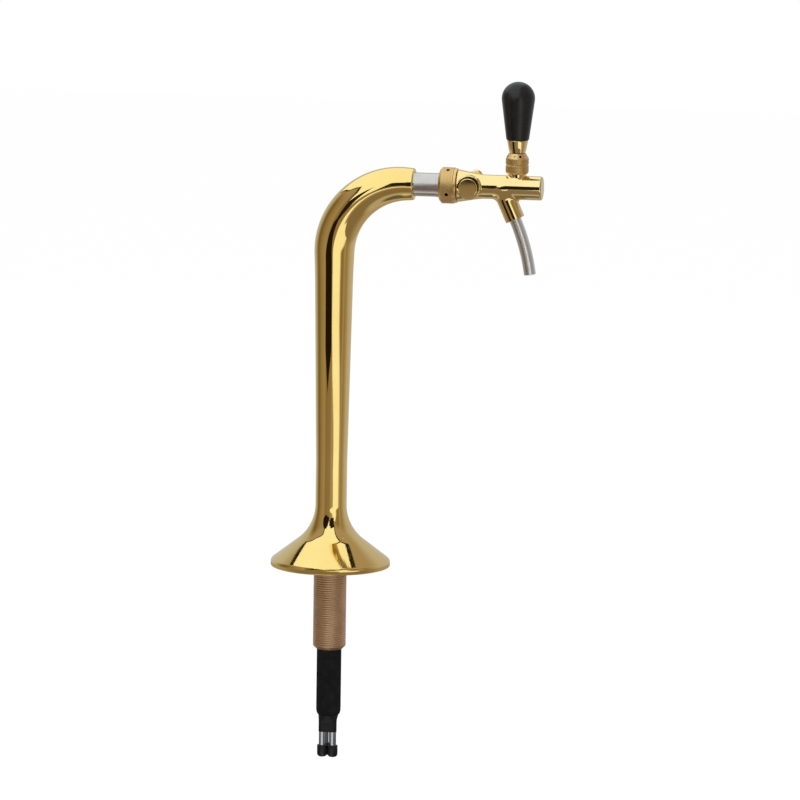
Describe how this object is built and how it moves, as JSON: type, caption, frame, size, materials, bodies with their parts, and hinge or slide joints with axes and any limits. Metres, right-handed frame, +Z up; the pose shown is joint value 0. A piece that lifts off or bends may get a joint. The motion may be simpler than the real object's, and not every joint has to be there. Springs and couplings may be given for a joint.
{
  "type": "draft beer tower",
  "caption": "Swan neck drink tower with a round flange, threaded mounting tube, insulated lines and a flow control tap with a ball lever, valve piston and curved spout.",
  "frame": {"origin": "centre of the flange's underside, where the column's axis meets the counter top", "axes": "+Z up along the column, +X from the column towards the tap, -Y the side with the round plug"},
  "size_m": [0.2687, 0.12, 0.6898],
  "materials": {
    "gold_plate": "polished gold plate",
    "satin_gold": "satin gold plate, knurled",
    "brown_brass": "dull brown brass",
    "stainless": "bright stainless steel",
    "black_foam": "closed cell foam",
    "black_rubber": "matte",
    "black_plastic": "smooth",
    "white_plastic": "smooth",
    "knob_plastic": "smooth, slightly glossy"
  },
  "bodies": {
    "tower": {"tower_column": "gold_plate", "mounting_tube": "brown_brass", "foam_sleeve": "black_foam", "foot_wrap": "black_rubber", "product_line": "stainless", "coolant_loop": "stainless", "product_line_cap": "black_plastic", "coolant_flow_cap": "black_plastic", "coolant_return_cap": "black_plastic", "shank": "stainless", "shank_seal": "black_rubber", "coupling_nut": "satin_gold", "nut_retaining_ring": "stainless", "tap_body": "gold_plate", "spout_tube": "stainless", "side_plug": "gold_plate", "side_plug_seal": "black_rubber", "spindle_gland": "gold_plate", "ball_seat": "white_plastic", "ball_seal": "black_rubber", "lower_collar": "satin_gold", "upper_collar": "satin_gold", "collar_lock_screw": "brown_brass"},
    "handle": {"lever": "stainless", "ferrule": "gold_plate", "knob_insert": "brown_brass", "knob": "knob_plastic"},
    "valve": {"piston": "stainless", "piston_seal": "black_rubber", "seal_retainer": "stainless"},
    "flow_control": {"flow_spindle": "stainless", "spindle_seal": "black_rubber", "flow_lever": "gold_plate", "flow_lever_screw": "stainless"},
    "compensator": {"compensator": "stainless"}
  },
  "joints": [
    {"name": "tap_lever", "type": "hinge", "parent": "tower", "child": "handle", "pos_m": [0.1828, 0, 0.4147], "axis": [0, 1, 0], "range_deg": [0, 18]},
    {"name": "valve_slide", "type": "slide", "parent": "tower", "child": "valve", "axis": [1, 0, 0], "range_m": [-0.0071, 0]},
    {"name": "flow_lever_turn", "type": "hinge", "parent": "tower", "child": "flow_control", "pos_m": [0.1365, 0, 0.3884], "axis": [0, 1, 0], "range_deg": [-45, 45]},
    {"name": "compensator_slide", "type": "slide", "parent": "tower", "child": "compensator", "axis": [1, 0, 0], "range_m": [-0.00161, 0.00161]}
  ],
  "couplings": [
    {"joint": "valve_slide", "follows": "tap_lever", "m_per_rad": -0.02255},
    {"joint": "flow_lever_turn", "follows": "compensator_slide", "rad_per_m": 487.8}
  ]
}
